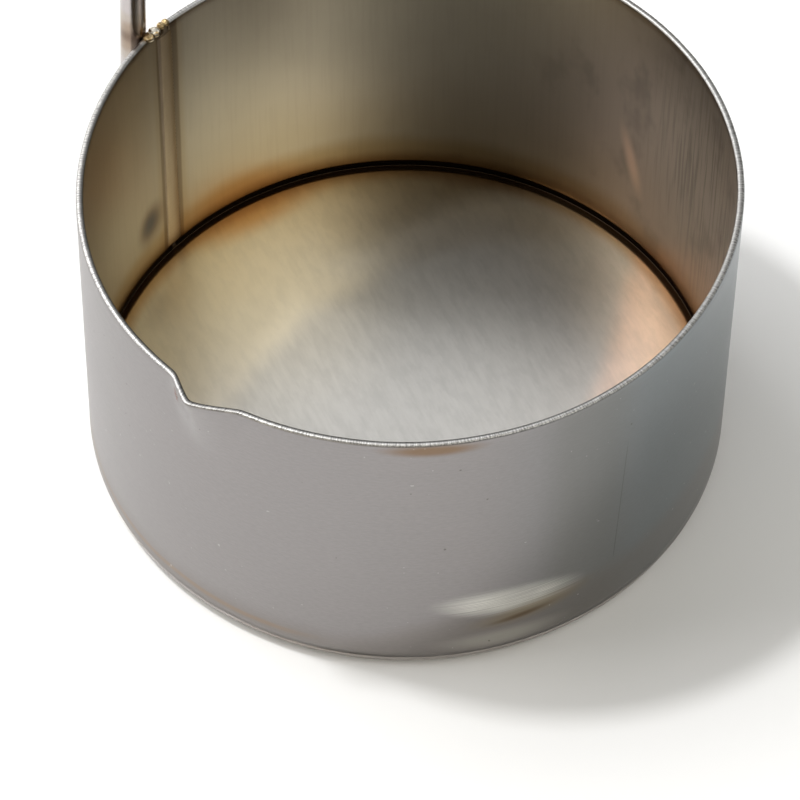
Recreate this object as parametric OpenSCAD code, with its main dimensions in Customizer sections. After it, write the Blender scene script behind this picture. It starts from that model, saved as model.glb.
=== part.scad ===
// Small welded pot for melting candle wax, with a pouring lip and an upright rod handle
// that ends in a hook. Millimetres, +Z up. The origin is the centre of the base's underside.
// The handle stands at +Y and the pouring lip points to -X.

/* [Pot] */
// Outside diameter of the wall
pot_d = 100; // [70:1:160]
// Height of the rim above the surface the pot stands on
pot_h = 55.5; // [35:0.5:120]
// Thickness of the rolled wall sheet
wall_t = 1.1; // [0.8:0.1:1.6]
// Thickness of the base disc
base_t = 1.2; // [0.8:0.1:2]
// Radius of the ground corner between the wall and the underside
corner_r = 2.4; // [2.2:0.1:4]

/* [Pouring lip] */
// Direction of the lip, counted from +X
lip_angle = 180; // [150:1:210]
// How far the tip of the lip stands out past the wall
lip_reach = 2.8; // [1.5:0.1:6]
// Half of the angle that the lip takes up on the wall
lip_half_angle = 9; // [6:0.5:14]
// How far down the wall the pressing runs
lip_drop = 13; // [8:0.5:20]
// Outside radius of the fold at the lip's tip
lip_fold_r = 1.8; // [1.7:0.1:3]

/* [Wall seam] */
// Free wall between the seam's bead and the beads that hold the rod
seam_clear = 0.1; // [0.05:0.05:2]
// Width of the gap between the sheet's ends
seam_gap = 1; // [0.5:0.1:2]
// Width of the flattened bead on the inside
bead_w = 3.4; // [2:0.1:5]
// Height of that bead above the inside of the wall
bead_h = 0.2; // [0.1:0.05:0.4]

/* [Handle] */
// Diameter of the handle rod
rod_d = 4; // [3:0.1:6]
// Direction of the rod where it passes the rim, counted from +X
handle_angle = 91.5; // [85:0.1:95]
// Sideways lean of the rod from upright, towards the seam
handle_lean = 3.3; // [0:0.1:4]
// Height of the rod's lower end above the underside
foot_z = 13.6; // [10:0.1:20]
// Straight length of the rod above the rim
rise = 100; // [60:1:180]
// Inside radius of the hook
hook_r = 10; // [7:0.5:16]
// Straight length of the hook's free end
hook_tail = 22; // [10:1:35]
// Chamfer at the rod's cut ends
rod_chamfer = 0.5; // [0.2:0.1:1]

/* [Handle welds] */
// How far the beads on the rim reach past each face of the wall
rim_bead_over = 0.75; // [0.5:0.05:1.2]
// Distance between the centres of the two beads on the rim
rim_bead_step = 1.4; // [0.8:0.1:2]
// Radius of the bead under the rod's lower end
foot_bead_r = 1.6; // [1.3:0.1:2.2]
// Width of the foot bead along the wall
foot_bead_w = 6.4; // [5:0.1:9]
// How far the small beads at the seam's end reach past each face of the wall
seam_bead_over = 0.35; // [0.3:0.05:0.6]
// Distance between the centres of the two beads at the seam's end
seam_bead_step = 1; // [0.6:0.1:1.4]

/* [Hidden] */
steel = [0.66, 0.64, 0.62];
ground_steel = [0.74, 0.73, 0.71];
rod_steel = [0.70, 0.69, 0.68];
weld_steel = [0.62, 0.55, 0.44];

pot_r = pot_d / 2;
inner_r = pot_r - wall_t;
rod_r = rod_d / 2;
// Size of the fused root that shows in the inside corner
root = 0.35;
// How far helper shapes run past the faces that they cut
cut = 1;
// How deep a bead's centre sits below the face that it lies on
sink = 0.3;
bend_r = hook_r + rod_r;
// Lengths along the leaning rod: from its foot to the rim, and on to the start of the hook
stem_below = (pot_h - foot_z) / cos(handle_lean);
stem_above = rise / cos(handle_lean);
rod_length = stem_below + stem_above;
// Distance round the wall from the rod to the seam, and the direction of the seam
seam_offset = bead_w / 2 + seam_clear + wall_t / 2 + rim_bead_over + rim_bead_step / 2;
seam_angle = handle_angle - arc_angle(seam_offset);
// Beads in the row under the rod, and the step from one to the next
foot_beads = 5;
foot_bead_step = (foot_bead_w - 2 * foot_bead_r) / (foot_beads - 1);

// Angle that a length measured round the wall takes up
function arc_angle(length) = length / pot_r * 180 / PI;

// Turns a child that was made at +X to stand at an angle on the outside of the wall
module at_wall(angle, radius, z) {
    rotate([0, 0, angle]) translate([radius, 0, z]) children();
}

// A piece in the rod's own frame: its foot at the origin, its length along Z, outwards along X
module on_handle() {
    at_wall(handle_angle, pot_r + rod_r, pot_h)
        rotate([handle_lean, 0, 0])
            translate([0, 0, -stem_below]) children();
}

// The wedge that presses the lip out of the wall, for one face of the sheet
module lip_wedge(fold) {
    centre_r = pot_r - lip_fold_r;
    rotate([0, 0, lip_angle]) hull() {
        translate([pot_r + lip_reach - lip_fold_r, 0, pot_h]) cylinder(r = fold, h = cut, $fn = 32);
        for (side = [-1, 1])
            rotate([0, 0, side * lip_half_angle])
                translate([centre_r, 0, pot_h]) cylinder(r = fold, h = cut, $fn = 32);
        translate([centre_r, 0, pot_h - lip_drop]) sphere(r = fold, $fn = 32);
    }
}

// Profile of the fused corner between the base disc and the wall
module corner_profile() {
    intersection() {
        union() {
            translate([pot_r - corner_r, corner_r]) circle(r = corner_r, $fn = 64);
            polygon([[inner_r - root, base_t],
                     [pot_r - corner_r, corner_r],
                     [pot_r - corner_r, 0],
                     [pot_r, corner_r],
                     [inner_r, base_t + root]]);
        }
        polygon([[pot_r - corner_r, 0],
                 [pot_r + cut, -cut],
                 [pot_r + cut, corner_r],
                 [pot_r, corner_r],
                 [inner_r, base_t + root],
                 [inner_r - root, base_t]]);
    }
}

// Everything that the wall sheet takes up, without its seam gap
module wall_shape() {
    difference() {
        union() {
            rotate_extrude($fn = 180)
                polygon([[inner_r, base_t + root],
                         [pot_r, corner_r],
                         [pot_r, pot_h],
                         [inner_r, pot_h]]);
            intersection() {
                lip_wedge(lip_fold_r);
                difference() {
                    cylinder(r = pot_r + lip_reach + cut, h = pot_h, $fn = 180);
                    translate([0, 0, -cut]) cylinder(r = inner_r, h = pot_h + 2 * cut, $fn = 180);
                }
            }
        }
        lip_wedge(lip_fold_r - wall_t);
    }
}

// A strip of the wall at the seam: its width, its inner and outer radius, and its lower and upper end
module seam_strip(width, r_in, r_out, z0, z1) {
    intersection() {
        rotate([0, 0, seam_angle]) translate([0, -width / 2, z0]) cube([pot_r + cut, width, z1 - z0]);
        translate([0, 0, z0]) difference() {
            cylinder(r = r_out, h = z1 - z0, $fn = 180);
            translate([0, 0, -cut]) cylinder(r = r_in, h = z1 - z0 + 2 * cut, $fn = 180);
        }
    }
}

// A straight piece of rod along +Z with its first end chamfered
module chamfered_rod(length) {
    cylinder(r1 = rod_r - rod_chamfer, r2 = rod_r, h = rod_chamfer, $fn = 48);
    translate([0, 0, rod_chamfer]) cylinder(r = rod_r, h = length - rod_chamfer, $fn = 48);
}

// The whole bent rod in its own frame
module rod_bar() {
    chamfered_rod(rod_length);
    translate([bend_r, 0, rod_length]) rotate([90, 0, 0])
        rotate_extrude(angle = 180, $fn = 96) translate([bend_r, 0]) circle(r = rod_r, $fn = 48);
    translate([2 * bend_r, 0, rod_length - hook_tail]) chamfered_rod(hook_tail);
}

// The straight stretch of rod that the welds meet
module rod_stem() {
    on_handle() chamfered_rod(rod_length);
}

// Two joined beads in the middle of the wall sheet's upper edge, either side of an angle
module rim_beads(over, angle, step) {
    for (side = [-1, 1])
        at_wall(angle + side * arc_angle(step / 2), pot_r - wall_t / 2, pot_h - sink)
            sphere(r = wall_t / 2 + over, $fn = 32);
}

// The plain ring of wall that the beads sit on
module wall_ring() {
    difference() {
        cylinder(r = pot_r, h = pot_h, $fn = 180);
        translate([0, 0, -cut]) cylinder(r = inner_r, h = pot_h + 2 * cut, $fn = 180);
    }
}

// Rolled sheet wall with the pressed pouring lip
module pot_wall() {
    color(steel) difference() {
        wall_shape();
        seam_strip(seam_gap, inner_r - cut, pot_r + cut / 2, 0, pot_h + cut);
    }
}

// Flat disc that closes the bottom
module base_disc() {
    color(steel) rotate_extrude($fn = 180)
        polygon([[0, 0],
                 [pot_r - corner_r, 0],
                 [inner_r - root, base_t],
                 [0, base_t]]);
}

// Ring of fused metal between the disc and the wall, ground round on the outside
module base_weld() {
    color(ground_steel) rotate_extrude($fn = 180) corner_profile();
}

// Bead that joins the ends of the rolled sheet
module seam_weld() {
    color(weld_steel) {
        seam_strip(seam_gap, inner_r, pot_r, corner_r, pot_h);
        seam_strip(bead_w, inner_r - bead_h, inner_r, base_t + root, pot_h);
    }
}

// Round rod that stands against the wall and bends over into a hook
module handle_rod() {
    color(rod_steel) on_handle() rod_bar();
}

// Small beads on the rim where the seam ends
module seam_end_bead() {
    color(weld_steel) difference() {
        rim_beads(seam_bead_over, seam_angle, seam_bead_step);
        wall_ring();
        seam_strip(bead_w, inner_r - bead_h, inner_r, 0, pot_h);
    }
}

// Beads that hold the rod to the rim
module rim_weld() {
    color(weld_steel) difference() {
        rim_beads(rim_bead_over, handle_angle, rim_bead_step);
        wall_ring();
        rod_stem();
    }
}

// Row of beads under the rod's lower end
module foot_weld() {
    color(weld_steel) difference() {
        on_handle() for (i = [0:foot_beads - 1])
            translate([-rod_r + sink, i * foot_bead_step - foot_bead_w / 2 + foot_bead_r, -sink])
                sphere(r = foot_bead_r, $fn = 32);
        wall_ring();
        translate([0, 0, -cut]) cylinder(r = inner_r, h = pot_h, $fn = 180);
        rod_stem();
    }
}

pot_wall();
base_disc();
base_weld();
seam_weld();
seam_end_bead();
handle_rod();
rim_weld();
foot_weld();
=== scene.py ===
"""Looks of the welded candle melting pot: sheet, welds, rod, heat tint, studio light and camera."""
import math

import bmesh
import bpy
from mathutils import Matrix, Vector


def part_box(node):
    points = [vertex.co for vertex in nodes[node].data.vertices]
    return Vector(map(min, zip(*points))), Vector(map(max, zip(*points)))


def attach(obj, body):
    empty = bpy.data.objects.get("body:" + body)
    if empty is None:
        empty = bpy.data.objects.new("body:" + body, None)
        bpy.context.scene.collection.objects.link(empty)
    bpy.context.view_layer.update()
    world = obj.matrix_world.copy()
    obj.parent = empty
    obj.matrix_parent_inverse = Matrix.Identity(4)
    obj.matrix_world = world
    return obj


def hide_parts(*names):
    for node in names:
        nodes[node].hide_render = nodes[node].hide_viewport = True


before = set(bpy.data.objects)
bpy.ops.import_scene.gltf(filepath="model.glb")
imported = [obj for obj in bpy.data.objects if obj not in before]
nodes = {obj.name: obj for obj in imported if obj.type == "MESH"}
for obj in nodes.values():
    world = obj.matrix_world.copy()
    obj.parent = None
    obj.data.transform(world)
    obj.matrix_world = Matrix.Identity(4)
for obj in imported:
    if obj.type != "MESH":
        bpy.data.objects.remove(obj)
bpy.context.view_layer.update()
MM = 0.001

# ---------------------------------------------------------------- sizes
# Read from the frame
wall_low, wall_high = (Vector(corner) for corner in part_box("pot_wall"))
pot_radius = wall_high.x
rim_height = wall_high.z
lip_reach = -wall_low.x - pot_radius
inner_radius = min(math.hypot(v.co.x, v.co.y) for v in nodes["pot_wall"].data.vertices)
sheet = pot_radius - inner_radius
floor_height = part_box("base_disc")[1][2]
corner_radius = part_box("base_weld")[1][2]
rod_low = Vector(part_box("handle_rod")[0])
# The visible root of the corner weld is a quarter as wide as the frame's
root_seen = 0.25 * (wall_low.z - floor_height)
# The same as in the part's source, because the frame's boxes don't give them
foot_height = 13.6 * MM
rod_radius = 2 * MM
rod_angle = math.radians(91.5)
rod_lean = math.radians(3.3)
rod_rise = 100 * MM
hook_radius = 12 * MM
hook_tail = 22 * MM
seam_angle = math.radians(91.5 - 4.354)
seam_gap = 1 * MM
lip_angle = math.pi
# The visible lip's two halves and how far down it fades out, and the rounding of the sheet's cut edge
lip_first_half = math.radians(5.2)
lip_second_half = math.radians(7.4)
lip_drop = 14 * MM
rim_edge = 0.45 * MM


def polar(angle, radius, height):
    """A point from its direction, its distance from the axis and its height."""
    return Vector((radius * math.cos(angle), radius * math.sin(angle), height))


# ---------------------------------------------------------------- camera
SENSOR_WIDTH = 36
LENS_RATIO = 6.25
VIEW_HEADING = math.radians(37.15)
VIEW_PITCH = math.radians(52.5)
EYE_ANGLE = math.radians(217.04)
EYE_DISTANCE = 481.8 * MM
EYE_HEIGHT = 629.4 * MM


def make_camera():
    """A long lens that looks down into the pot from the front."""
    data = bpy.data.cameras.new("camera")
    data.sensor_width = SENSOR_WIDTH
    data.lens = SENSOR_WIDTH * LENS_RATIO
    data.clip_end = 20
    camera = bpy.data.objects.new("camera", data)
    bpy.context.collection.objects.link(camera)
    camera.location = polar(EYE_ANGLE, EYE_DISTANCE, EYE_HEIGHT)
    heading = Vector((math.cos(VIEW_HEADING), math.sin(VIEW_HEADING), -math.tan(VIEW_PITCH)))
    camera.rotation_euler = heading.to_track_quat("-Z", "Y").to_euler()
    bpy.context.scene.camera = camera


# ---------------------------------------------------------------- node trees
class Num:
    """A number inside a node tree, with the usual arithmetic."""

    def __init__(self, tree, socket):
        self.tree = tree
        self.socket = socket

    def math(self, operation, *others):
        node = self.tree.nodes.new("ShaderNodeMath")
        node.operation = operation
        for slot, value in enumerate((self, *others)):
            connect(self.tree, value, node.inputs[slot])
        return Num(self.tree, node.outputs[0])

    def __add__(self, other):
        return self.math("ADD", other)

    def __sub__(self, other):
        return self.math("SUBTRACT", other)

    def __mul__(self, other):
        return self.math("MULTIPLY", other)

    def __truediv__(self, other):
        return self.math("DIVIDE", other)

    def __neg__(self):
        return self.math("MULTIPLY", -1)

    __radd__ = __add__
    __rmul__ = __mul__

    def __rsub__(self, other):
        return (self * -1) + other

    def cos(self):
        return self.math("COSINE")

    def sin(self):
        return self.math("SINE")

    def power(self, exponent):
        return self.math("POWER", exponent)

    def ramp(self, low, high):
        """Smooth step from 0 at low to 1 at high."""
        node = self.tree.nodes.new("ShaderNodeMapRange")
        node.interpolation_type = "SMOOTHSTEP"
        connect(self.tree, self, node.inputs["Value"])
        if low <= high:
            values = (low, high, 0, 1)
        else:
            values = (high, low, 1, 0)
        for name, value in zip(("From Min", "From Max", "To Min", "To Max"), values):
            connect(self.tree, value, node.inputs[name])
        return Num(self.tree, node.outputs["Result"])


class Vec(Num):
    """A vector inside a node tree, which can be added and scaled."""

    def __add__(self, other):
        node = add_node(self.tree, "ShaderNodeVectorMath", {0: self, 1: other}, operation="ADD")
        return Vec(self.tree, node.outputs[0])

    def scaled(self, factor):
        node = add_node(self.tree, "ShaderNodeVectorMath", {0: self, "Scale": factor}, operation="SCALE")
        return Vec(self.tree, node.outputs[0])


def connect(tree, value, target):
    """Puts a constant in a socket, or links a value to it."""
    if isinstance(value, Num):
        tree.links.new(value.socket, target)
    elif isinstance(value, bpy.types.NodeSocket):
        tree.links.new(value, target)
    else:
        target.default_value = value


def add_node(tree, kind, inputs=None, **settings):
    """A new node with its settings and inputs."""
    node = tree.nodes.new(kind)
    for name, value in settings.items():
        setattr(node, name, value)
    for name, value in (inputs or {}).items():
        connect(tree, value, node.inputs[name])
    return node


def noise_value(tree, vector, scale, detail=2.0, roughness=0.5, seed=0.0):
    """Smooth noise between about 0 and 1."""
    node = add_node(tree, "ShaderNodeTexNoise", {"Vector": vector, "Scale": scale, "Detail": detail,
                                                 "Roughness": roughness, "W": seed}, noise_dimensions="4D")
    return Num(tree, node.outputs[0])


def start_tree(name, number_names, count_name):
    """A new Geometry Nodes tree with named number inputs; returns it, its inputs and the numbers by name."""
    tree = bpy.data.node_groups.new(name, "GeometryNodeTree")
    tree.interface.new_socket("Geometry", in_out="INPUT", socket_type="NodeSocketGeometry")
    for label in number_names:
        kind = "NodeSocketInt" if label == count_name else "NodeSocketFloat"
        tree.interface.new_socket(label, in_out="INPUT", socket_type=kind)
    tree.interface.new_socket("Material", in_out="INPUT", socket_type="NodeSocketMaterial")
    tree.interface.new_socket("Geometry", in_out="OUTPUT", socket_type="NodeSocketGeometry")
    given = add_node(tree, "NodeGroupInput").outputs
    return tree, given, {label: Num(tree, given[label]) for label in number_names}


def end_tree(tree, grid, position, material):
    """Moves the grid's points to their places, realizes the result and gives it its material."""
    placed = add_node(tree, "GeometryNodeSetPosition",
                      {"Geometry": grid.outputs["Mesh"], "Position": position})
    whole = add_node(tree, "GeometryNodeRealizeInstances", {"Geometry": placed.outputs[0]})
    coated = add_node(tree, "GeometryNodeSetMaterial", {"Geometry": whole.outputs[0], "Material": material})
    tree.links.new(coated.outputs[0], add_node(tree, "NodeGroupOutput").inputs[0])


# ---------------------------------------------------------------- meshes
MERGE_GAP = 0.002 * MM


def link_mesh(name, mesh, material):
    """A linked object at the origin with one material."""
    mesh.materials.clear()
    mesh.materials.append(material)
    piece = bpy.data.objects.new(name, mesh)
    bpy.context.collection.objects.link(piece)
    return piece


def tidy_mesh(mesh, merge):
    """Merges doubles, closes open ends, turns the faces outwards and shades them smooth."""
    work = bmesh.new()
    work.from_mesh(mesh)
    bmesh.ops.remove_doubles(work, verts=work.verts, dist=merge)
    bmesh.ops.dissolve_degenerate(work, edges=work.edges, dist=merge)
    bmesh.ops.holes_fill(work, edges=[e for e in work.edges if e.is_boundary])
    bmesh.ops.recalc_face_normals(work, faces=work.faces)
    for face in work.faces:
        face.smooth = True
    work.to_mesh(mesh)
    work.free()


def grid_mesh(name, rows, closed_rows=False, closed_columns=False):
    """A mesh from rows of points of equal length."""
    points = [point for row in rows for point in row]
    width = len(rows[0])
    faces = []
    for r in range(len(rows) if closed_rows else len(rows) - 1):
        for c in range(width if closed_columns else width - 1):
            up = (r + 1) % len(rows)
            right = (c + 1) % width
            faces.append((r * width + c, r * width + right, up * width + right, up * width + c))
    mesh = bpy.data.meshes.new(name)
    mesh.from_pydata(points, [], faces)
    return mesh


def arc(centre, radius, start, end, steps):
    """Points along an arc in the plane of a section, angles in degrees."""
    turn = [math.radians(start + (end - start) * i / steps) for i in range(steps + 1)]
    return [(centre[0] + radius * math.cos(a), centre[1] + radius * math.sin(a)) for a in turn]


def line(start, end, steps):
    """Points from start up to but not including end."""
    return [(start[0] + (end[0] - start[0]) * i / steps, start[1] + (end[1] - start[1]) * i / steps)
            for i in range(steps)]


def finished_piece(name, source, tree, material, **sizes):
    """Runs a tree on a source mesh and keeps the result as a plain, closed mesh piece.

    The sizes are the tree's inputs: half_width sets "Half Width".
    """
    host = bpy.data.objects.new(name + "_source", source)
    bpy.context.collection.objects.link(host)
    modifier = host.modifiers.new("shape", "NODES")
    modifier.node_group = tree
    values = {key.replace("_", " ").title(): value for key, value in sizes.items()}
    values["Material"] = material
    for item in tree.interface.items_tree:
        if item.in_out == "INPUT" and item.name in values:
            modifier[item.identifier] = values[item.name]
    bpy.context.view_layer.update()
    graph = bpy.context.evaluated_depsgraph_get()
    mesh = bpy.data.meshes.new_from_object(host.evaluated_get(graph))
    mesh.name = name
    host.modifiers.clear()
    bpy.data.objects.remove(host)
    tidy_mesh(mesh, MERGE_GAP)
    return link_mesh(name, mesh, material)


# ---------------------------------------------------------------- turned sheet tree
SHAPE_INPUTS = ("Columns", "Start Angle", "End Angle", "Rim Height", "Out Of Round", "Lip Reach",
                "Lip Drop", "Rim Wave", "Rim Nicks", "Surface Wave")
# Terms of the wall's true outline: how many lobes, how far out, and the direction of the first lobe
OUT_OF_ROUND = ((1, 0.45, -70), (2, 0.22, -26), (3, 0.21, -55), (4, 0.12, -18.6))
# The rolled sheet stays flatter beside its seam: the place's direction and half width, and how deep it is
FLAT_SPOT = (math.radians(72), math.radians(22), 1.1 * MM)


def wall_shift(angle, height):
    """How far the true wall stands out from the plain tube at a place; the same sum as in the tree."""
    outward = sum(size_mm * MM * math.cos(lobes * (angle - math.radians(direction)))
                  for lobes, size_mm, direction in OUT_OF_ROUND)
    place, half, deep = FLAT_SPOT
    share = max(0, 1 - abs((angle - place + math.pi) % (2 * math.pi) - math.pi) / half)
    outward -= deep * share * share * (3 - 2 * share)
    return outward * min(1, max(0, height / rim_height))


def turned_tree():
    """Geometry Nodes tree that turns an outline round Z and presses the lip and the wall's waves into it."""
    tree, given, value = start_tree("turned_sheet", SHAPE_INPUTS, "Columns")
    outline = given["Geometry"]
    size = add_node(tree, "GeometryNodeAttributeDomainSize", {"Geometry": outline})
    count = Num(tree, size.outputs["Point Count"])
    rows = count + 1
    grid = add_node(tree, "GeometryNodeMeshGrid", {"Size X": 1.0, "Size Y": 1.0,
                                                   "Vertices X": value["Columns"], "Vertices Y": rows})
    index = Num(tree, add_node(tree, "GeometryNodeInputIndex").outputs[0])
    column = (index / rows).math("FLOOR")
    row = (index - column * rows).math("MODULO", count)
    place = add_node(tree, "GeometryNodeInputPosition").outputs[0]
    sample = add_node(tree, "GeometryNodeSampleIndex", {"Geometry": outline, "Index": row, "Value": place},
                      data_type="FLOAT_VECTOR")
    split = add_node(tree, "ShaderNodeSeparateXYZ", {0: sample.outputs[0]})
    reach = Num(tree, split.outputs["X"])
    height = Num(tree, split.outputs["Z"])
    share = column / (value["Columns"] - 1)
    angle = value["Start Angle"] + share * (value["End Angle"] - value["Start Angle"])

    rise = (height / value["Rim Height"]).math("MAXIMUM", 0)
    outward = 0
    for lobes, size_mm, direction in OUT_OF_ROUND:
        outward = (angle * lobes - math.radians(direction) * lobes).cos() * (size_mm * MM) + outward
    place, half, deep = FLAT_SPOT
    gap = ((angle - place + 3 * math.pi).math("MODULO", 2 * math.pi) - math.pi).math("ABSOLUTE")
    outward = (outward - gap.ramp(half, 0) * deep) * rise * value["Out Of Round"]

    # The lip: a folded V, narrower on its first side, that fades out down the wall. The small numbers round
    # its crest (0.01) and its two borders (0.02), and 0.004 cuts off the tail of that rounding.
    depth = ((height - value["Rim Height"]) / value["Lip Drop"] + 1).math("MAXIMUM", 0).math("MINIMUM", 1)
    away = angle - lip_angle
    half = away.ramp(-0.002, 0.002) * (lip_second_half - lip_first_half) + lip_first_half
    offset = away / (half * (depth * 0.3 + 0.7))
    ridge = (offset * offset + 0.01).math("SQRT")
    slope = 1.08 - ridge
    fold = (slope + (slope * slope + 0.02).math("SQRT")) * 0.5
    lip = (fold - 0.004).math("MAXIMUM", 0) * depth.power(1.5) * value["Lip Reach"]

    around = add_node(tree, "ShaderNodeCombineXYZ", {0: angle.cos(), 1: angle.sin(), 2: height * 20})
    wave = noise_value(tree, around.outputs[0], 2.2, 1.0, seed=3.0) - 0.5
    top = (height / value["Rim Height"]).ramp(0.85, 1.0)
    nicks = noise_value(tree, around.outputs[0], 70.0, 2.0, 0.6, seed=8.0) - 0.5
    edge = (height / value["Rim Height"]).ramp(0.985, 1.0)
    skin = noise_value(tree, around.outputs[0], 5.0, 2.0, seed=5.0) - 0.5
    lift = wave * top * value["Rim Wave"] + nicks * edge * value["Rim Nicks"]
    radius = reach + outward + lip + skin * value["Surface Wave"] + nicks * edge * value["Rim Nicks"] * 0.5
    point = add_node(tree, "ShaderNodeCombineXYZ", {0: radius * angle.cos(), 1: radius * angle.sin(),
                                                    2: height + lift})
    end_tree(tree, grid, point.outputs[0], given["Material"])
    return tree


def turn_outline(name, tree, outline, material, start_angle=0.0, end_angle=2 * math.pi, **sizes):
    """Turns a closed outline of (radius, height) points round Z and returns it as a plain mesh piece."""
    source = bpy.data.meshes.new(name + "_outline")
    points = [(radius, 0, height) for radius, height in outline]
    source.from_pydata(points, [(i, (i + 1) % len(points)) for i in range(len(points))], [])
    return finished_piece(name, source, tree, material, start_angle=start_angle, end_angle=end_angle,
                          rim_height=rim_height, lip_drop=lip_drop, **sizes)


# ---------------------------------------------------------------- weld beads
BEAD_INPUTS = ("Around", "Half Width", "Half Height", "Ripple Step", "Ripple Depth", "Lump Size", "Lumps")


def bead_tree():
    """Geometry Nodes tree that lays a rippled oval bead along a path that carries its own directions."""
    tree, given, value = start_tree("weld_run", BEAD_INPUTS, "Around")
    path = given["Geometry"]
    size = add_node(tree, "GeometryNodeAttributeDomainSize", {"Geometry": path})
    rows = value["Around"] + 1
    grid = add_node(tree, "GeometryNodeMeshGrid", {"Size X": 1.0, "Size Y": 1.0,
                                                   "Vertices X": size.outputs["Point Count"],
                                                   "Vertices Y": rows})
    index = Num(tree, add_node(tree, "GeometryNodeInputIndex").outputs[0])
    station = (index / rows).math("FLOOR")
    turn = (index - station * rows) / value["Around"] * (2 * math.pi)

    def sampled(source, data_type):
        node = add_node(tree, "GeometryNodeSampleIndex", {"Geometry": path, "Index": station,
                                                          "Value": source}, data_type=data_type)
        return node.outputs[0]

    def named(name, data_type):
        node = add_node(tree, "GeometryNodeInputNamedAttribute", {"Name": name}, data_type=data_type)
        return sampled(node.outputs[0], data_type)

    centre = sampled(add_node(tree, "GeometryNodeInputPosition").outputs[0], "FLOAT_VECTOR")
    across = named("across", "FLOAT_VECTOR")
    out = named("out", "FLOAT_VECTOR")
    travel = Num(tree, named("travel", "FLOAT"))
    swell = Num(tree, named("swell", "FLOAT"))
    side = turn.cos()
    crest = turn.sin()
    spread = add_node(tree, "ShaderNodeCombineXYZ", {0: travel / value["Lump Size"], 1: side, 2: crest})
    lump = noise_value(tree, spread.outputs[0], 1.0, 2.0, 0.5, 4.0) - 0.5
    phase = travel / value["Ripple Step"] - side * side * 0.8 + lump * 0.6
    ripple = (phase * math.pi).sin().math("ABSOLUTE") * value["Ripple Depth"]
    wide = side * value["Half Width"] * swell * (lump * value["Lumps"] + 1)
    tall = crest * (value["Half Height"] * swell * (lump * value["Lumps"] + 1) + ripple * swell)
    place = Vec(tree, centre) + Vec(tree, across).scaled(wide) + Vec(tree, out).scaled(tall)
    end_tree(tree, grid, place.socket, given["Material"])
    return tree


def path_mesh(name, points, outs, swells):
    """A line of points that carries the directions and the swell of the bead laid along it."""
    mesh = bpy.data.meshes.new(name)
    mesh.from_pydata(points, [(i, i + 1) for i in range(len(points) - 1)], [])
    travel = [0.0]
    across = []
    for i, point in enumerate(points):
        ahead = (points[min(i + 1, len(points) - 1)] - points[max(i - 1, 0)]).normalized()
        across.append(outs[i].cross(ahead).normalized())
        if i:
            travel.append(travel[-1] + (point - points[i - 1]).length)
    for label, rows in (("across", across), ("out", outs)):
        attribute = mesh.attributes.new(label, "FLOAT_VECTOR", "POINT")
        attribute.data.foreach_set("vector", [number for row in rows for number in row])
    for label, row in (("travel", travel), ("swell", swells)):
        mesh.attributes.new(label, "FLOAT", "POINT").data.foreach_set("value", row)
    return mesh


def run_of_bead(name, tree, points, outs, swells, material, **sizes):
    """A weld bead along a row of points."""
    return finished_piece(name, path_mesh(name + "_path", points, outs, swells), tree, material, **sizes)


def beads_in_line(count, step, size, end_swell=0.05, fine=14):
    """Distances along a run and swells that make overlapping round beads of a size."""
    length = step * (count - 1) + 2 * size
    stations = []
    for i in range(count * fine + 1):
        s = length * i / (count * fine)
        best = 0
        for k in range(count):
            gap = (s - size - k * step) / size
            if abs(gap) < 1:
                best = max(best, math.sqrt(1 - gap * gap))
        stations.append((s - length / 2, max(best, end_swell)))
    return stations


def on_wall(angle, radius, height):
    """A point that follows the true wall."""
    return polar(angle, radius + wall_shift(angle, height), height)


# ---------------------------------------------------------------- materials
def metal(name, anisotropy=0.0):
    """A new metal material: its tree and shader, with the numbers that are the same all over it."""
    material = bpy.data.materials.new(name)
    material.use_nodes = True
    tree = material.node_tree
    shader = tree.nodes["Principled BSDF"]
    shader.inputs["Metallic"].default_value = 1.0
    shader.inputs["Anisotropic"].default_value = anisotropy
    if anisotropy:
        round_z = add_node(tree, "ShaderNodeTangent", direction_type="RADIAL", axis="Z")
        tree.links.new(round_z.outputs[0], shader.inputs["Tangent"])
    return material, tree, shader


def places(tree):
    """Where a point is: x, y, z and radius in mm, and direction in degrees from opposite the seam."""
    where = add_node(tree, "ShaderNodeTexCoord").outputs["Object"]
    split = add_node(tree, "ShaderNodeSeparateXYZ", {0: where})
    x, y, z = (Num(tree, split.outputs[i]) * (1 / MM) for i in range(3))
    radius = (x * x + y * y).math("SQRT")
    # The jump from 180 to -180 lies in the seam
    c, s = math.cos(seam_angle), math.sin(seam_angle)
    angle = (x * s - y * c).math("ARCTAN2", -(x * c + y * s)) * (180 / math.pi)
    return x, y, z, radius, angle


def turn_of(direction):
    """A direction in degrees as the angle that places() gives."""
    return (direction - math.degrees(seam_angle)) % 360 - 180


def stretched(tree, u, v, w=0.0):
    """A vector for a texture from separate stretched directions."""
    return add_node(tree, "ShaderNodeCombineXYZ", {0: u, 1: v, 2: w}).outputs[0]


def mix(tree, share, first, second, kind="MIX"):
    """Colour mix; share, first and second are sockets, numbers or colours."""
    node = add_node(tree, "ShaderNodeMix", data_type="RGBA", blend_type=kind, clamp_factor=True)
    for slot, value in ((0, share), (6, first), (7, second)):
        if isinstance(value, tuple):
            value = (*value, 1)
        connect(tree, value, node.inputs[slot])
    return node.outputs[2]


def tint_colours(tree, distance, stops):
    """Heat tint by distance: stops are (distance as a share, colour)."""
    node = add_node(tree, "ShaderNodeValToRGB", {"Fac": distance})
    band = node.color_ramp
    band.interpolation = "EASE"
    while len(band.elements) < len(stops):
        band.elements.new(0.5)
    for element, (position, colour) in zip(band.elements, stops):
        element.position = position
        element.color = (*colour, 1)
    return node.outputs[0]


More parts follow.
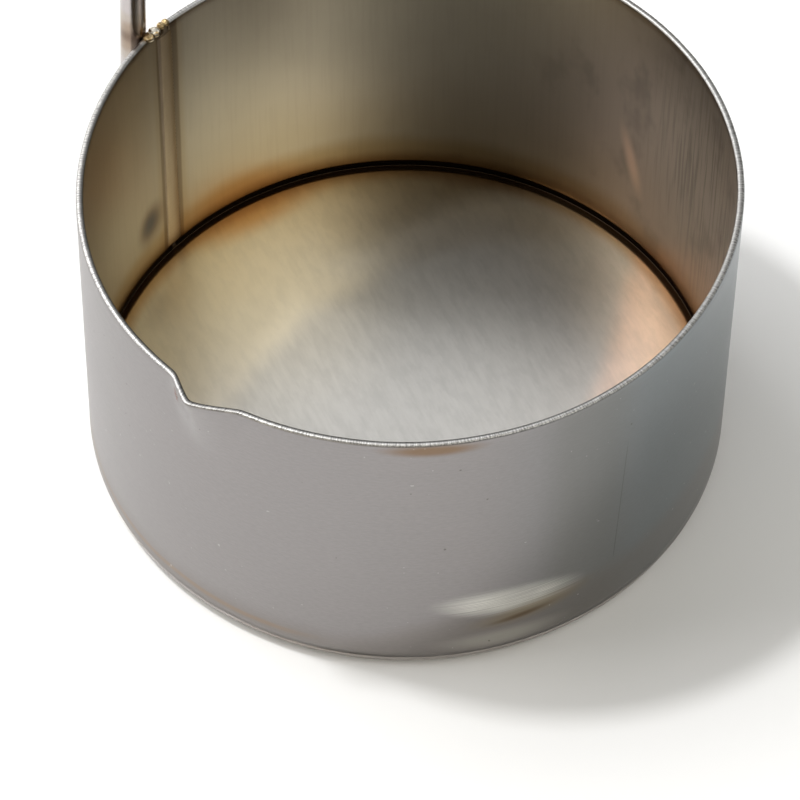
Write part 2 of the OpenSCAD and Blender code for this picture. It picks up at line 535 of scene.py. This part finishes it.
def spot(x, y, x0, y0, rx, ry, soft=0.6, turn=0.0):
    """1 inside an oval patch, fading to 0 at its edge."""
    c, s = math.cos(math.radians(turn)), math.sin(math.radians(turn))
    dx, dy = x - x0, y - y0
    a = (dx * c + dy * s) / rx
    b = (dy * c - dx * s) / ry
    return (a * a + b * b).math("SQRT").ramp(1 + soft, 1 - soft)


def patched(tree, colour, angle, z, patches):
    """Lays soft oval patches over a colour.

    A patch is its direction, height, half width in degrees, half height, softness, slope, share and colour.
    """
    for direction, height, half_width, half_height, soft, slope, share, paint in patches:
        patch = spot(angle, z, turn_of(direction), height, half_width, half_height, soft, slope)
        colour = mix(tree, patch * share, colour, paint)
    return colour


def bump(tree, shader, height, distance):
    """Relief of a material: a height between 0 and 1, and how deep 1 is."""
    node = add_node(tree, "ShaderNodeBump", {"Height": height, "Distance": distance, "Strength": 1.0})
    tree.links.new(node.outputs[0], shader.inputs["Normal"])


# Painted shade: the outside's tone on its lit left side and on its darker, bluer shaded right side
STEEL_LIT_SIDE = (0.295, 0.277, 0.275)
STEEL_SHADED_SIDE = (0.19, 0.215, 0.225)
STEEL_IN = (0.425, 0.39, 0.32)
ROOT_BROWN = (0.07, 0.047, 0.028)
SCALE_BROWN = (0.12, 0.08, 0.045)
TINT_GOLD = (0.50, 0.40, 0.27)
TINT_STRAW = (0.84, 0.74, 0.56)
CLEAR = (1.0, 1.0, 1.0)
# Where the corner weld's root begins, as ramps over radius and height in mm
ROOT_RADIUS = (49.4, 49.2)
ROOT_HEIGHT = (0.6, 0.8)
# Patches on the sheet, as patched() takes them: a pale band below the ground place, which is a painted
# reflection, and the ground place's brown streaks
GROUND_REFLECTION_AND_STREAKS = (
    # Painted reflection: a pale band low on the outside
    (234, 5.0, 9.0, 1.6, 0.7, 0, 0.45, (0.55, 0.53, 0.47)),
    (239.5, 10.2, 8.5, 1.7, 0.7, 6, 0.6, (0.26, 0.20, 0.11)),
    (237.5, 9.3, 4.5, 0.5, 0.8, 6, 0.7, (0.10, 0.055, 0.025)),
)
UNDER_RIM_TINT = ((221.5, 54.2, 7.0, 1.1, 0.6, 0, 0.75, (0.20, 0.115, 0.05)),)
# A rubbed streak where the tint was wiped off
WIPED_STREAK = ((-10, 20.5, 1.3, 5.5, 0.8, -20, 0.8, (0.56, 0.41, 0.33)),)
# The blued spot where the rod's lower end was tacked on outside
BLUED_SPOT = (
    (93.8, 12.7, 3.5, 3.9, 0.6, 24, 0.75, (0.13, 0.085, 0.05)),
    (94.0, 12.9, 1.9, 2.2, 0.8, 24, 0.85, (0.055, 0.06, 0.075)),
)


def shifted_rim(tree, angle):
    """wall_shift() at the rim, in mm, for a direction that places() gave."""
    turn = (angle + (math.degrees(seam_angle) + 180)) * (math.pi / 180)
    outward = 0
    for lobes, size_mm, direction in OUT_OF_ROUND:
        outward = (turn * lobes - math.radians(direction) * lobes).cos() * size_mm + outward
    place, half, deep = FLAT_SPOT
    gap = ((turn - place + 3 * math.pi).math("MODULO", 2 * math.pi) - math.pi).math("ABSOLUTE")
    return outward - gap.ramp(half, 0) * (deep / MM)


def outside_colour(tree, z, angle, along, lines, cloud):
    """The outside of the sheet: clear above, browner and brushed where its lower edge was ground by hand,
    with painted shade on its right side, a painted dark band, a painted highlight and a painted pale
    reflection.
    """
    specks = noise_value(tree, stretched(tree, along, z, 9.0), 1.1, 1.0, 0.5, 6.0).ramp(0.76, 0.80)
    marks = noise_value(tree, stretched(tree, along * 0.9, z * 0.9, 19.0), 1.1, 0.0, 0.5, 2.0)
    marks = marks.ramp(0.835, 0.86)
    border = noise_value(tree, stretched(tree, along * 0.04, 0.0, 4.0), 1.0, 2.0, 0.5, 9.0) * 8 + 2.5
    border = border + angle.ramp(turn_of(205), turn_of(232)) * 6
    ground = (z - border).ramp(3.0, -3.0)
    # Painted shade: the right side of the outside is painted darker and bluer than the left
    side = angle.ramp(turn_of(225), turn_of(272))
    colour = mix(tree, side, STEEL_LIT_SIDE, STEEL_SHADED_SIDE)
    # Painted shade: a darker olive band round direction 250 stands for the pot's shadow seen in the wall
    painted_shadow_band = (angle - turn_of(250)).math("ABSOLUTE").ramp(12, 3)
    colour = mix(tree, painted_shadow_band * 0.35, colour, (0.16, 0.155, 0.13))
    colour = mix(tree, (cloud - 0.35) * 0.4, colour, (0.27, 0.27, 0.27))
    colour = mix(tree, ground * 0.5, colour, (0.20, 0.175, 0.155))
    colour = mix(tree, lines.ramp(0.40, 0.70) * 0.10, colour, (0.20, 0.20, 0.20))
    fine = noise_value(tree, stretched(tree, along * 0.9, z * 3.0, 31.0), 1.0, 2.0, 0.6, 5.0)
    colour = mix(tree, fine.ramp(0.30, 0.70) * 0.16, colour, (0.15, 0.145, 0.14))
    # Fresh marks of the grinding wheel, painted bright as a painted highlight, and the tint that the welding
    # left round them
    fresh_marks_and_highlight = spot(angle, z, turn_of(235.5), 13.9, 10.5, 2.7, 0.5, -5) * (lines.ramp(0.34, 0.62) * 0.8 + 0.2)
    fresh_marks_and_highlight = fresh_marks_and_highlight * (cloud.ramp(0.30, 0.55) * 0.5 + 0.5)
    colour = mix(tree, fresh_marks_and_highlight, colour, (0.80, 0.79, 0.73))
    colour = patched(tree, colour, angle, z, GROUND_REFLECTION_AND_STREAKS)
    tint_line = ((z - 4.8) + (cloud - 0.5) * 2).math("ABSOLUTE").ramp(0.9, 0.1)
    tint_line = tint_line * angle.ramp(turn_of(205), turn_of(190))
    colour = mix(tree, tint_line * 0.5, colour, (0.30, 0.20, 0.12))
    colour = patched(tree, colour, angle, z, UNDER_RIM_TINT)
    rust = spot(angle, z, turn_of(175.6), 52.2, 0.55, 1.6, 0.4) * noise_value(
        tree, stretched(tree, along, z, 2.0), 3.0, 1.0, 0.5).ramp(0.42, 0.5)
    colour = mix(tree, rust * 0.9, colour, (0.18, 0.05, 0.02))
    scratch = (angle - turn_of(257) - (z - 27) * 0.07).math("ABSOLUTE").ramp(0.14, 0.03) * z.ramp(12, 15)
    colour = mix(tree, scratch * z.ramp(42, 38) * 0.5, colour, (0.08, 0.08, 0.08))
    colour = mix(tree, marks * 0.6, colour, (0.10, 0.09, 0.085))
    return mix(tree, specks * 0.3, colour, (0.75, 0.74, 0.72))


def inside_colour(tree, z, angle, along, streaks, cloud):
    """The inside of the sheet: heat tint above the corner weld and beside the seam, a blued spot, a painted
    lit patch and painted shade low on its right.
    """
    wander = (noise_value(tree, stretched(tree, along * 0.08, z * 0.1, 5.0), 1.0, 2.0, 0.5, 3.0) - 0.5) * 5
    above = (z - floor_height / MM - 0.1 + wander * z.ramp(2.0, 8.0) * 0.5) / 9
    corner_tint = tint_colours(tree, above, ((0.0, (0.10, 0.07, 0.045)), (0.035, (0.28, 0.21, 0.13)),
                                             (0.12, TINT_GOLD), (0.50, TINT_STRAW), (1.0, CLEAR)))
    beside = (180 - angle.math("ABSOLUTE")) * (math.pi / 180 * inner_radius / MM) - 1.4
    seam_tint = tint_colours(tree, (beside + (wander * 0.05)) / 2.6,
                             ((0.0, (0.46, 0.40, 0.33)), (0.25, (0.52, 0.45, 0.37)),
                              (0.45, (0.92, 0.88, 0.80)), (1.0, CLEAR)))
    rubbed = spot(angle, z, turn_of(-34), 28, 40, 44, 0.45)
    # Painted shade: a broad patch low on the right of the inner wall
    low_right_shade = spot(angle, z, turn_of(-24), 2, 54, 32, 0.95)
    combed = spot(angle, z, turn_of(-36), 30, 20, 22, 0.5)
    # Painted light: a lighter patch on the inner wall
    lit = spot(angle, z, turn_of(-60), 34, 28, 44, 0.7)
    colour = mix(tree, (cloud - 0.3) * 0.7, STEEL_IN, (0.34, 0.30, 0.235))
    colour = mix(tree, rubbed * 0.85, colour, (0.27, 0.222, 0.20))
    colour = mix(tree, lit * 0.9, colour, (0.50, 0.44, 0.40))
    colour = mix(tree, streaks.ramp(0.46, 0.62) * (combed * 0.6 + 0.05), colour, (0.13, 0.11, 0.095))
    smudge = noise_value(tree, stretched(tree, along * 0.12, z * 0.07, 15.0), 1.0, 3.0, 0.6, 8.0)
    colour = mix(tree, smudge.ramp(0.50, 0.68) * rubbed * 0.5, colour, (0.12, 0.10, 0.09))
    colour = patched(tree, colour, angle, z, WIPED_STREAK)
    colour = mix(tree, 1.0, colour, corner_tint, "MULTIPLY")
    colour = mix(tree, 1.0, colour, seam_tint, "MULTIPLY")
    # Painted shade: low on the right the inner wall is multiplied darker and browner
    colour = mix(tree, low_right_shade * 0.9, colour, (0.30, 0.22, 0.175), "MULTIPLY")
    return patched(tree, colour, angle, z, BLUED_SPOT)


def sheet_steel():
    """The wall: fine lines round the outside, streaks and heat tint inside, raw edge on top."""
    material, tree, shader = metal("sheet_steel", 0.45)
    x, y, z, radius, angle = places(tree)
    along = angle * (math.pi / 180 * pot_radius / MM)
    face = add_node(tree, "ShaderNodeNewGeometry").outputs["Normal"]
    face = add_node(tree, "ShaderNodeSeparateXYZ", {0: face})
    outward = (Num(tree, face.outputs[0]) * x + Num(tree, face.outputs[1]) * y) / radius
    outside = outward.ramp(-0.1, 0.1)
    upward = Num(tree, face.outputs[2]).ramp(0.35, 0.8) * (z - rim_height / MM).ramp(-2.0, -1.0)

    lines = noise_value(tree, stretched(tree, along * 0.035, z * 5.5), 1.0, 4.0, 0.65)
    streaks = noise_value(tree, stretched(tree, along * 1.3, z * 0.045, 3.0), 1.0, 3.0, 0.6, 2.0)
    cloud = noise_value(tree, stretched(tree, along * 0.05, z * 0.06, 7.0), 1.0, 3.0, 0.55, 1.0)
    grain = noise_value(tree, stretched(tree, along, z, 1.0), 4.0, 2.0, 0.6)

    outer = outside_colour(tree, z, angle, along, lines, cloud)
    inner = inside_colour(tree, z, angle, along, streaks, cloud)
    colour = mix(tree, outside, inner, outer)
    edge = mix(tree, grain.ramp(0.35, 0.65), (0.22, 0.215, 0.21), (0.58, 0.57, 0.55))
    scorch = (angle - turn_of(94.3)).math("ABSOLUTE").ramp(1.5, 0.5)
    edge = mix(tree, scorch * 0.9, edge, (0.05, 0.03, 0.02))
    stain = (angle - turn_of(88.4)).math("ABSOLUTE").ramp(5.5, 3.0) * (1 - scorch)
    edge = mix(tree, stain * 0.6, edge, (0.55, 0.40, 0.20))
    # Painted shade: the inner half of the cut face is painted grey, so the bright cut face is half as wide
    # as the sheet
    shaded_inner_half = (radius - inner_radius / MM - shifted_rim(tree, angle)).ramp(0.75, 0.35)
    edge = mix(tree, shaded_inner_half * 0.6, edge, (0.30, 0.30, 0.29))
    colour = mix(tree, upward, colour, edge)
    tree.links.new(colour, shader.inputs["Base Color"])
    worn = spot(angle, z, turn_of(-50), 30, 34, 60, 0.6) * (1 - outside)
    rough = 0.285 + worn * 0.08 + cloud * 0.04 + upward * 0.08 + outside * lines * 0.08
    connect(tree, rough, shader.inputs["Roughness"])
    relief = lines * 0.5 * outside + streaks * 0.4 * (1 - outside) + grain * 0.25 + upward * grain * 1.5
    bump(tree, shader, relief, 0.02 * MM)
    return material


BRUSHED_ALONG = math.radians(62)


def base_steel():
    """The floor: cloudy, brushed one way, golden at the left and round its edge, its lit part painted grey
    and a painted pink reflection at the right.
    """
    material, tree, shader = metal("base_steel", 0.0)
    x, y, z, radius, angle = places(tree)
    u = x * math.cos(BRUSHED_ALONG) + y * math.sin(BRUSHED_ALONG)
    v = y * math.cos(BRUSHED_ALONG) - x * math.sin(BRUSHED_ALONG)
    brush = noise_value(tree, stretched(tree, u * 0.16, v * 1.1, 2.0), 1.0, 4.0, 0.65)
    cloud = noise_value(tree, stretched(tree, x * 0.045, y * 0.045, 3.0), 1.0, 3.0, 0.6, 5.0)
    wander = (noise_value(tree, stretched(tree, x * 0.06, y * 0.06, 8.0), 1.0, 2.0, 0.5, 7.0) - 0.5) * 10
    edge = (inner_radius / MM - root_seen / MM - radius + wander * (50 - radius).ramp(2.0, 9.0)) / 20
    tint = tint_colours(tree, edge, ((0.0, (0.36, 0.22, 0.12)), (0.012, (0.55, 0.35, 0.18)),
                                     (0.05, (0.76, 0.54, 0.31)), (0.20, (0.96, 0.88, 0.72)), (1.0, CLEAR)))
    mottle = noise_value(tree, stretched(tree, u * 0.22, v * 0.5, 12.0), 1.0, 3.0, 0.6, 2.0)
    left = spot(x, y, -2, 38, 24, 18, 0.9, -30)
    # Painted light: the brushed part of the floor has a round border where the rim's shadow edge falls, and
    # inside it the floor is painted grey as its lit part; past a straight border the floor is painted pink,
    # a painted reflection
    from_middle = ((x + 4.1) * (x + 4.1) + (y + 34.3) * (y + 34.3)).math("SQRT")
    lit_brushed_area = (from_middle + (cloud - 0.5) * 6).ramp(60.0, 54.5)
    pink_reflection = (x * 0.381 - y * 0.924 - 28.7 + (cloud - 0.5) * 3).ramp(-2.5, 2.0)
    colour = mix(tree, cloud.ramp(0.3, 0.7) * 0.30, (0.60, 0.58, 0.54), (0.48, 0.47, 0.44))
    # Painted light: the lit part of the floor is painted grey
    colour = mix(tree, lit_brushed_area * 0.80, colour, (0.51, 0.505, 0.485))
    colour = mix(tree, left * (1 - lit_brushed_area * 0.6) * 0.95, colour, (0.97, 0.91, 0.76))
    # Painted reflection: the floor is painted pink past the straight border
    colour = mix(tree, pink_reflection * 0.75, colour, (0.72, 0.57, 0.485))
    colour = mix(tree, mottle.ramp(0.42, 0.62) * (0.14 - left * 0.09), colour, (0.25, 0.25, 0.24))
    colour = mix(tree, brush.ramp(0.35, 0.7) * (lit_brushed_area * 0.13 + 0.05), colour, (0.34, 0.33, 0.31))
    near_front = (x * 0.797 + y * 0.604).ramp(-5.0, -42.0)
    colour = mix(tree, near_front * 0.6, colour, (0.30, 0.30, 0.29))
    colour = mix(tree, 1.0, colour, tint, "MULTIPLY")
    scorched = spot(x, y, 15.5, 43.0, 9, 2.6, 0.9, -20)
    colour = mix(tree, scorched * 0.75, colour, (0.85, 0.50, 0.20), "MULTIPLY")
    tree.links.new(colour, shader.inputs["Base Color"])
    connect(tree, 0.29 + lit_brushed_area * 0.06 + brush * 0.05 + cloud * 0.03, shader.inputs["Roughness"])
    bump(tree, shader, brush * (lit_brushed_area * 0.75 + 0.25), 0.006 * MM)
    return material


def weld_steel():
    """The corner weld: ground and brushed outside, dark brown with scale in the root."""
    material, tree, shader = metal("corner_weld_steel", 0.3)
    x, y, z, radius, angle = places(tree)
    along = angle * (math.pi / 180 * pot_radius / MM)
    inside = radius.ramp(*ROOT_RADIUS) * z.ramp(*ROOT_HEIGHT)
    marks = noise_value(tree, stretched(tree, along * 0.08, z * 5.0, radius), 1.0, 4.0, 0.65)
    cloud = noise_value(tree, stretched(tree, along * 0.07, z * 0.3, 7.0), 1.0, 3.0, 0.6, 4.0)
    outer = mix(tree, cloud.ramp(0.4, 0.7) * 0.6, (0.42, 0.39, 0.37), (0.28, 0.235, 0.20))
    outer = mix(tree, marks.ramp(0.4, 0.7) * 0.2, outer, (0.2, 0.18, 0.17))
    colour = mix(tree, inside, outer, ROOT_BROWN)
    tree.links.new(colour, shader.inputs["Base Color"])
    connect(tree, 0.30 + marks * 0.15 + inside * 0.30, shader.inputs["Roughness"])
    bump(tree, shader, marks + cloud, 0.03 * MM)
    return material


def seam_steel():
    """The seam's flattened bead: golden in the middle, dark along both borders."""
    material, tree, shader = metal("seam_steel", 0.0)
    x, y, z, radius, angle = places(tree)
    off = (180 - angle.math("ABSOLUTE")) * (math.pi / 180 * inner_radius / MM)
    cloud = noise_value(tree, stretched(tree, off * 1.5, z * 0.25, 2.0), 1.0, 3.0, 0.6)
    colour = tint_colours(tree, off / 1.8 + (cloud - 0.5) * 0.12,
                          ((0.0, (0.46, 0.385, 0.28)), (0.62, (0.42, 0.345, 0.245)),
                           (0.82, (0.25, 0.20, 0.15)), (1.0, (0.20, 0.16, 0.12))))
    colour = mix(tree, z.ramp(6.0, 1.5), colour, SCALE_BROWN)
    tree.links.new(colour, shader.inputs["Base Color"])
    connect(tree, 0.32 + cloud * 0.15, shader.inputs["Roughness"])
    bump(tree, shader, cloud, 0.03 * MM)
    return material


def bead_steel(name, bright=(0.80, 0.76, 0.66)):
    """Small weld beads: bright, straw and brown in patches of noise."""
    material, tree, shader = metal(name, 0.0)
    x, y, z, radius, angle = places(tree)
    cloud = noise_value(tree, stretched(tree, x, y, z), 0.9, 3.0, 0.6)
    fine = noise_value(tree, stretched(tree, x, y, z), 4.0, 2.0, 0.6, 3.0)
    colour = tint_colours(tree, cloud, ((0.30, (0.14, 0.08, 0.04)), (0.42, (0.50, 0.36, 0.18)),
                                        (0.55, bright), (0.75, bright)))
    tree.links.new(colour, shader.inputs["Base Color"])
    connect(tree, 0.285 + fine * 0.06, shader.inputs["Roughness"])
    bump(tree, shader, fine, 0.03 * MM)
    return material


def rod_steel():
    """Drawn rod: lines along it, browned where the welds hold it."""
    material, tree, shader = metal("rod_steel", 0.0)
    x, y, z, radius, angle = places(tree)
    lines = noise_value(tree, stretched(tree, x * 7.0, y * 7.0, z * 0.12), 1.0, 3.0, 0.6)
    cloud = noise_value(tree, stretched(tree, x * 0.2, y * 0.2, z * 0.2), 1.0, 3.0, 0.6, 2.0)
    colour = mix(tree, lines.ramp(0.35, 0.7) * 0.3, (0.52, 0.485, 0.485), (0.36, 0.335, 0.335))
    colour = mix(tree, (cloud - 0.35) * 0.5, colour, (0.45, 0.40, 0.36))
    near = (z - rim_height / MM - 0.5).math("ABSOLUTE") + (cloud - 0.5) * 3
    tint = tint_colours(tree, near / 6, ((0.0, (0.45, 0.36, 0.28)), (0.35, (0.72, 0.62, 0.50)),
                                         (0.7, (0.92, 0.88, 0.80)), (1.0, CLEAR)))
    foot = tint_colours(tree, (z - rod_low.z / MM + (cloud - 0.5) * 3) / 9,
                        ((0.0, (0.15, 0.10, 0.08)), (0.3, (0.45, 0.30, 0.18)), (0.6, (0.85, 0.74, 0.55)),
                         (1.0, CLEAR)))
    colour = mix(tree, 1.0, colour, tint, "MULTIPLY")
    colour = mix(tree, 1.0, colour, foot, "MULTIPLY")
    tree.links.new(colour, shader.inputs["Base Color"])
    connect(tree, 0.16 + lines * 0.08 + cloud * 0.02, shader.inputs["Roughness"])
    bump(tree, shader, lines, 0.015 * MM)
    return material


# ---------------------------------------------------------------- pieces
def wall_outline():
    """Section of the wall: up the inside, over the rounded edge, down the outside."""
    shoulder = rim_height - rim_edge
    inside = line((inner_radius, floor_height + root_seen), (inner_radius, shoulder), 40)
    over = arc((inner_radius + rim_edge, shoulder), rim_edge, 180, 90, 4)
    back = arc((pot_radius - rim_edge, shoulder), rim_edge, 90, 0, 4)
    outside = line((pot_radius, shoulder), (pot_radius, corner_radius), 40)
    return inside + over + back + outside[1:] + [(pot_radius, corner_radius)]


def corner_outline():
    """Section of the fused corner: the ground quarter round outside and the root inside."""
    ground = arc((pot_radius - corner_radius, corner_radius), corner_radius, 270, 360, 14)
    root = arc((inner_radius - root_seen, floor_height + root_seen), root_seen, 0, -90, 5)
    return ground + root


def disc_outline():
    """Section of the base disc from its middle out."""
    low = line((0, 0), (pot_radius - corner_radius, 0), 12)
    high = line((inner_radius - root_seen, floor_height), (0, floor_height), 40)
    return low + [(pot_radius - corner_radius, 0)] + high + [(0, floor_height)]


def rod_frame():
    """The rod's place: outward and upward directions, its point at the rim and its lower end."""
    out = Vector((math.cos(rod_angle), math.sin(rod_angle), 0))
    around = Vector((-math.sin(rod_angle), math.cos(rod_angle), 0))
    up = Vector((0, 0, 1)) * math.cos(rod_lean) - around * math.sin(rod_lean)
    at_rim = out * (pot_radius + rod_radius) + Vector((0, 0, rim_height))
    foot = at_rim - up * ((rim_height - foot_height) / math.cos(rod_lean))
    return out, around, up, at_rim, foot


def make_rod(material):
    """The bent rod, with chamfered ends."""
    out, around, up, at_rim, foot = rod_frame()
    bend = at_rim + up * (rod_rise / math.cos(rod_lean))
    points = [foot.lerp(bend, i / 60) for i in range(60)]
    centre = bend + out * hook_radius
    for i in range(41):
        a = math.pi * (1 - i / 40)
        points.append(centre + out * (hook_radius * math.cos(a)) + up * (hook_radius * math.sin(a)))
    tip = bend + out * (2 * hook_radius)
    points += [tip - up * (hook_tail * i / 12) for i in range(1, 13)]
    side = out.cross(up)
    chamfer = 0.5 * MM
    pole = 0.02 * MM
    rows = []
    count = len(points)
    for i, point in enumerate(points):
        ahead = (points[min(i + 1, count - 1)] - points[max(i - 1, 0)]).normalized()
        across = side.cross(ahead).normalized()
        rings = [(point, rod_radius)]
        if i == 0:
            rings = [(point, pole), (point, rod_radius - chamfer), (point + ahead * chamfer, rod_radius)]
        if i == count - 1:
            rings = [(point - ahead * chamfer, rod_radius), (point, rod_radius - chamfer), (point, pole)]
        for middle, radius in rings:
            rows.append([middle + (across * math.cos(a) + side * math.sin(a)) * radius
                         for a in (2 * math.pi * k / 48 for k in range(48))])
    rows = [[place + out * wall_shift(rod_angle, place.z) for place in row] for row in rows]
    mesh = grid_mesh("handle_rod_bar", rows, closed_columns=True)
    tidy_mesh(mesh, MERGE_GAP / 2)
    return link_mesh("handle_rod_bar", mesh, material)


def make_seam(tree, material):
    """The seam's bead, from the corner weld up to the rim."""
    middle = (inner_radius + pot_radius) / 2
    low = floor_height + 0.5 * MM
    high = rim_height - 0.5 * MM
    count = 280
    points = [on_wall(seam_angle, middle, low + (high - low) * i / count) for i in range(count + 1)]
    outs = [polar(seam_angle, -1, 0)] * (count + 1)
    swells = [min(1, 0.3 + min(i, count - i) * 0.12) for i in range(count + 1)]
    return run_of_bead("seam_bead", tree, points, outs, swells, material, around=40,
                       half_width=2.7 * MM, half_height=sheet / 2 + 0.13 * MM, ripple_step=0.9 * MM,
                       ripple_depth=0.02 * MM, lump_size=3 * MM, lumps=0.04)


def make_rim_beads(name, tree, material, angle, over, step, rise, inward, lumps):
    """Two joined beads, step apart, that sit on the wall's upper edge and stand over its two sides."""
    size = sheet / 2 + over
    middle = (inner_radius + pot_radius) / 2
    stations = beads_in_line(2, step, size)
    points = [on_wall(angle - s / middle, middle - inward, rim_height + rise) for s, swell in stations]
    outs = [Vector((0, 0, 1))] * len(points)
    swells = [swell for s, swell in stations]
    return run_of_bead(name, tree, points, outs, swells, material, around=28, half_width=size,
                       half_height=size * 0.62, ripple_step=0.7 * MM, ripple_depth=0.10 * MM,
                       lump_size=0.7 * MM, lumps=lumps)


def make_foot_bead(tree, material):
    """The row of dabs under the rod's lower end."""
    out, around, up, at_rim, foot = rod_frame()
    size = 1.6 * MM
    stations = beads_in_line(5, 0.8 * MM, size)
    centre = foot - out * (rod_radius - 0.3 * MM - wall_shift(rod_angle, foot.z)) - up * 0.3 * MM
    points = [centre + around * s for s, swell in stations]
    return run_of_bead("foot_bead", tree, points, [out] * len(points), [swell for s, swell in stations],
                       material, around=28, half_width=size, half_height=size * 0.72,
                       ripple_step=0.8 * MM, ripple_depth=0.12 * MM, lump_size=1.2 * MM, lumps=0.15)


# ---------------------------------------------------------------- studio
TABLE_HALF = 3
TABLE_TOP = -0.2 * MM


def make_floor():
    """A plain pale table."""
    count = 24
    steps = [-TABLE_HALF + 2 * TABLE_HALF * i / count for i in range(count + 1)]
    rows = [[(x, y, TABLE_TOP) for x in steps] for y in steps]
    mesh = grid_mesh("studio_floor", rows)
    material = bpy.data.materials.new("floor_paint")
    material.use_nodes = True
    shader = material.node_tree.nodes["Principled BSDF"]
    shader.inputs["Base Color"].default_value = (0.9, 0.9, 0.9, 1)
    shader.inputs["Roughness"].default_value = 0.9
    floor = link_mesh("studio_floor", mesh, material)


# Soft boxes of the studio: direction, height, half width, half height and softness in degrees, then the
# colour and the strength
SOFT_BOXES = (
    ("window", 103, 32, 38, 32, 6, (1.0, 1.0, 1.0), 2.5),
    ("bounce_card", -98, 54, 28, 14, 14, (1.0, 0.97, 0.88), 2.45),
    ("side_card", -46, 54, 24, 9, 6, (0.98, 1.0, 0.96), 1.1),
    ("back_card", 44, 60, 30, 11, 5, (1.0, 1.0, 1.02), 1.52),
    ("low_card", 180, 23, 26, 8, 6, (1.0, 0.88, 0.62), 1.7),
)
AMBIENT = (0.22, 0.22, 0.22)
KEY_TURN = math.radians(110)
KEY_HEIGHT = math.radians(66)
KEY_DISTANCE = 1.5
KEY_SIZE = 0.14
KEY_POWER = 9.5


def make_world(boxes, ambient):
    """The studio round the pot: soft boxes on a dim surround, by direction."""
    world = bpy.data.worlds.new("studio")
    bpy.context.scene.world = world
    world.use_nodes = True
    tree = world.node_tree
    where = add_node(tree, "ShaderNodeTexCoord").outputs["Generated"]
    split = add_node(tree, "ShaderNodeSeparateXYZ", {0: where})
    x, y, z = (Num(tree, split.outputs[i]) for i in range(3))
    height = z.math("ARCSINE") * (180 / math.pi)
    direction = y.math("ARCTAN2", x) * (180 / math.pi)
    total = add_node(tree, "ShaderNodeRGB")
    total.outputs[0].default_value = (*ambient, 1)
    total = Vec(tree, total.outputs[0])
    for name, turn, rise, half_width, half_height, soft, colour, strength in boxes:
        gap = ((direction - turn + 540).math("MODULO", 360) - 180).math("ABSOLUTE")
        over = (height - rise).math("ABSOLUTE")
        share = gap.ramp(half_width + soft, half_width - soft)
        share = share * over.ramp(half_height + soft, half_height - soft)
        tone = add_node(tree, "ShaderNodeRGB", label=name)
        tone.outputs[0].default_value = (*(c * strength for c in colour), 1)
        total = total + Vec(tree, tone.outputs[0]).scaled(share)
    tree.links.new(total.socket, tree.nodes["Background"].inputs["Color"])
    tree.nodes["Background"].inputs["Strength"].default_value = 1.0


def make_key():
    """A small soft box high on the left, which throws the shadow of the rim across the floor."""
    data = bpy.data.lights.new("key_light", "AREA")
    data.shape = "DISK"
    data.size = KEY_SIZE
    data.energy = KEY_POWER
    key = bpy.data.objects.new("key_light", data)
    bpy.context.collection.objects.link(key)
    way = polar(KEY_TURN, math.cos(KEY_HEIGHT), math.sin(KEY_HEIGHT))
    key.location = way * KEY_DISTANCE
    key.rotation_euler = (-way).to_track_quat("-Z", "Y").to_euler()


# ---------------------------------------------------------------- the whole pot
make_camera()
turned = turned_tree()
beads = bead_tree()
wall = turn_outline("rolled_wall", turned, wall_outline(), sheet_steel(), columns=720,
                    start_angle=seam_angle + seam_gap / 2 / pot_radius,
                    end_angle=seam_angle - seam_gap / 2 / pot_radius + 2 * math.pi,
                    out_of_round=1.0, lip_reach=lip_reach, rim_wave=0.35 * MM, rim_nicks=0.12 * MM,
                    surface_wave=0.06 * MM)
corner = turn_outline("ground_corner_weld", turned, corner_outline(), weld_steel(), columns=541)
disc = turn_outline("floor_disc", turned, disc_outline(), base_steel(), columns=361)
rod = make_rod(rod_steel())
seam = make_seam(beads, seam_steel())
bead = bead_steel("bead_steel")
end_beads = make_rim_beads("seam_end_dabs", beads, bead_steel("dab_steel", (0.5, 0.38, 0.2)), seam_angle,
                           0.12 * MM, 0.9 * MM, 0, 0.05 * MM, 0.35)
rim_beads = make_rim_beads("rim_tacks", beads, bead, rod_angle - math.radians(1.1),
                           0.42 * MM, 1.3 * MM, 0.1 * MM, 0.25 * MM, 0.45)
foot_beads = make_foot_bead(beads, bead)
for piece, node, slot in ((wall, "pot_wall", "sheet"), (corner, "base_weld", "ground_weld"),
                          (disc, "base_disc", "base"), (rod, "handle_rod", "rod"),
                          (seam, "seam_weld", "seam"), (end_beads, "seam_end_bead", "bead"),
                          (rim_beads, "rim_weld", "bead"), (foot_beads, "foot_weld", "bead")):
    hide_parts(node)
    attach(piece, "root")

make_floor()
make_key()
make_world(SOFT_BOXES, AMBIENT)
bpy.context.scene.view_settings.view_transform = "Standard"
